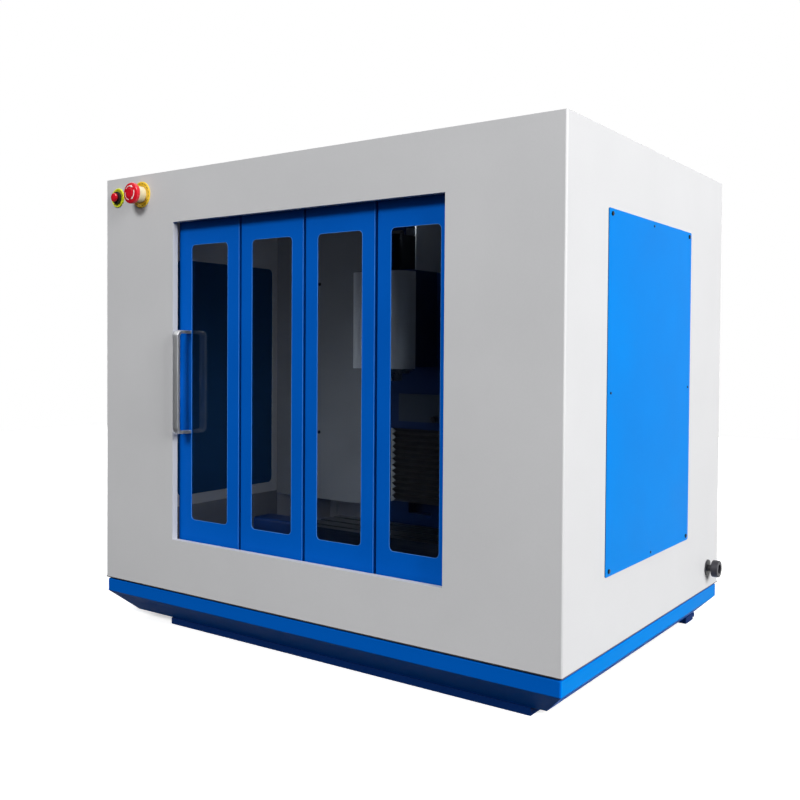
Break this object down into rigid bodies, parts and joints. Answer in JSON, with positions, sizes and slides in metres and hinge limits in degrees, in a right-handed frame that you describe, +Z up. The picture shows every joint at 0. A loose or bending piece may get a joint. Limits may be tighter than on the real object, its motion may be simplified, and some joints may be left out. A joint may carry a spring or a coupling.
{
  "type": "cnc milling machine",
  "caption": "Enclosed bench milling machine with a folding glazed door, a slotted table, a vertical spindle and an emergency stop.",
  "frame": {"origin": "centre of the anchor holes at the floor", "axes": "+X to the operator's right, +Y to the back, +Z up; the door faces -Y"},
  "size_m": [1.0273, 0.7328, 0.87],
  "materials": {
    "blue_paint": "satin powder coat",
    "grey_paint": "fine texture powder coat",
    "liner_paint": "satin powder coat",
    "clear_pane": "clear",
    "bare_aluminium": "brushed",
    "cast_blue": "satin machine enamel",
    "cast_iron": "ground",
    "steel": "ground",
    "black_steel": "black oxide",
    "black_plastic": "matt",
    "red_plastic": "gloss",
    "yellow_plastic": "matt",
    "bellows_grey": "coated",
    "bellows_black": "coated",
    "motor_black": "black anodised"
  },
  "bodies": {
    "root": {"base_tray": "blue_paint", "foot_rails": "blue_paint", "enclosure_hood": "grey_paint", "rear_panel": "grey_paint", "side_covers": "blue_paint", "cover_screws": "black_steel", "wall_liners": "liner_paint", "splash_panels": "liner_paint", "top_track": "bare_aluminium", "bottom_track": "bare_aluminium", "legend_rings": "yellow_plastic", "button_bodies": "black_plastic", "gland_body": "black_plastic", "gland_nut": "black_plastic", "machine_base": "cast_blue", "fixed_rails": "steel", "screw_supports": "steel", "column": "cast_blue", "cable_guard": "liner_paint", "axis_motors": "motor_black", "lower_bellows": "bellows_grey", "upper_bellows": "bellows_black", "electrics_plate": "steel", "servo_drives": "black_plastic", "power_supply": "bare_aluminium"},
    "leaf_4": {"door_leaf_4": "blue_paint", "window_pane_4": "clear_pane", "pivot_pins": "steel"},
    "leaf_3": {"door_leaf_3": "blue_paint", "window_pane_3": "clear_pane"},
    "leaf_2": {"door_leaf_2": "blue_paint", "window_pane_2": "clear_pane", "seam_pins": "steel"},
    "leaf_1": {"door_leaf_1": "blue_paint", "window_pane_1": "clear_pane", "guide_pins": "steel", "door_handle": "bare_aluminium"},
    "saddle": {"saddle": "cast_blue", "saddle_carriages": "steel", "saddle_nuts": "steel"},
    "table": {"table": "cast_iron", "x_rails": "steel", "x_screw_supports": "cast_blue", "x_motor": "motor_black"},
    "x_screw": {"x_screw": "steel"},
    "y_screw": {"y_screw": "steel"},
    "z_screw": {"z_screw": "steel"},
    "head": {"head_casting": "cast_blue", "z_carriages": "steel", "z_nut": "steel", "head_cover": "liner_paint", "spindle_cartridge": "steel", "spindle_bearings": "steel", "spindle_motor": "motor_black", "slide_apron": "liner_paint"},
    "spindle": {"spindle_shaft": "steel", "collet_nut": "steel"},
    "estop_plunger": {"estop_stem": "black_plastic"},
    "estop_cap": {"estop_mushroom": "red_plastic"},
    "push_button": {"button_cap": "red_plastic"}
  },
  "joints": [
    {"name": "door_jamb_hinge", "type": "hinge", "parent": "root", "child": "leaf_4", "pos_m": [0.3104, -0.32775, 0.475], "axis": [0, 0, -1], "range_deg": [0, 75]},
    {"name": "door_seam_a", "type": "hinge", "parent": "leaf_4", "child": "leaf_3", "pos_m": [0.1578, -0.34375, 0.475], "axis": [0, 0, -1], "range_deg": [-150, 0]},
    {"name": "door_seam_b", "type": "hinge", "parent": "leaf_3", "child": "leaf_2", "pos_m": [0.0052, -0.32775, 0.475], "axis": [0, 0, -1], "range_deg": [0, 150]},
    {"name": "door_seam_c", "type": "hinge", "parent": "leaf_2", "child": "leaf_1", "pos_m": [-0.1474, -0.34375, 0.475], "axis": [0, 0, -1], "range_deg": [-150, 0]},
    {"name": "y_axis", "type": "slide", "parent": "root", "child": "saddle", "axis": [0, 1, 0], "range_m": [-0.008, 0.06]},
    {"name": "x_axis", "type": "slide", "parent": "saddle", "child": "table", "axis": [1, 0, 0], "range_m": [-0.155, 0.063]},
    {"name": "z_axis", "type": "slide", "parent": "root", "child": "head", "axis": [0, 0, 1], "range_m": [-0.105, 0.075], "deforming": ["lower_bellows", "upper_bellows"]},
    {"name": "x_screw_turn", "type": "hinge", "parent": "table", "child": "x_screw", "pos_m": [0.037, -0.10375, 0.159], "axis": [1, 0, 0], "range_deg": [-11200, 4600]},
    {"name": "y_screw_turn", "type": "hinge", "parent": "root", "child": "y_screw", "pos_m": [-0.0075, -0.06375, 0.088], "axis": [0, 1, 0], "range_deg": [-600, 4400]},
    {"name": "z_screw_turn", "type": "hinge", "parent": "root", "child": "z_screw", "pos_m": [-0.0075, 0.02425, 0.5], "axis": [0, 0, 1], "range_deg": [-7600, 5450]},
    {"name": "spindle_turn", "type": "hinge", "parent": "head", "child": "spindle", "pos_m": [-0.0075, -0.06375, 0.6], "axis": [0, 0, 1], "continuous": true},
    {"name": "estop_push", "type": "slide", "parent": "root", "child": "estop_plunger", "axis": [0, 1, 0], "range_m": [0, 0.005]},
    {"name": "estop_twist", "type": "hinge", "parent": "estop_plunger", "child": "estop_cap", "pos_m": [-0.3935, -0.38375, 0.8325], "axis": [0, 1, 0], "range_deg": [0, 45], "stiffness_Nm_per_rad": 0.05},
    {"name": "button_push", "type": "slide", "parent": "root", "child": "push_button", "axis": [0, 1, 0], "range_m": [0, 0.002], "stiffness_N_per_m": 600, "springref_m": -0.001}
  ],
  "couplings": [
    {"joint": "door_seam_a", "follows": "door_jamb_hinge", "ratio": -2},
    {"joint": "door_seam_b", "follows": "door_jamb_hinge", "ratio": 2},
    {"joint": "door_seam_c", "follows": "door_jamb_hinge", "ratio": -2},
    {"joint": "x_screw_turn", "follows": "x_axis", "rad_per_m": 1256.6},
    {"joint": "y_screw_turn", "follows": "y_axis", "rad_per_m": 1256.6},
    {"joint": "z_screw_turn", "follows": "z_axis", "rad_per_m": 1256.6}
  ]
}
